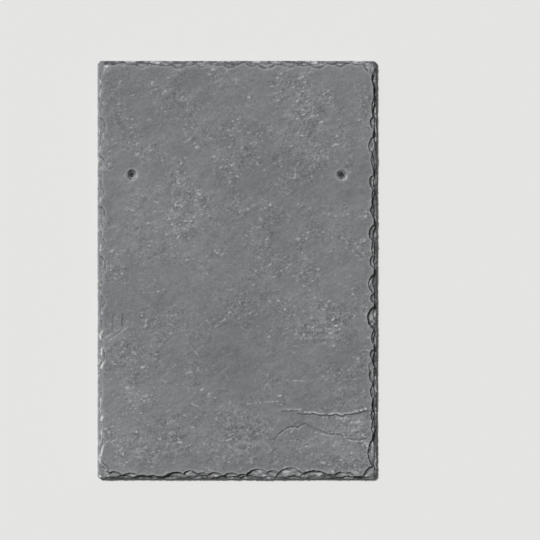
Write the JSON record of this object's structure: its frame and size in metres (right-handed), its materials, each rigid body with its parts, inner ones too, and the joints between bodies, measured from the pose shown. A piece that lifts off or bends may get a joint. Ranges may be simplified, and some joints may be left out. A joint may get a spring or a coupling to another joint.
{
  "type": "slate roof tile",
  "caption": "Flat rectangular roofing slate of split grey stone with a dressed, chipped edge on its weather face and two nail holes near the head.",
  "frame": {"origin": "middle of the flat back, which lies on the floor when the slate lies weather face up", "axes": "+X across the width, +Y from the exposed tail to the covered head, +Z out of the weather face"},
  "size_m": [0.305, 0.457, 0.0095],
  "materials": {
    "slate_stone": "riven, matt to low sheen, mid grey with paler flecks and a few hairline cracks"
  },
  "bodies": {
    "root": {"slate": "slate_stone"}
  },
  "joints": []
}
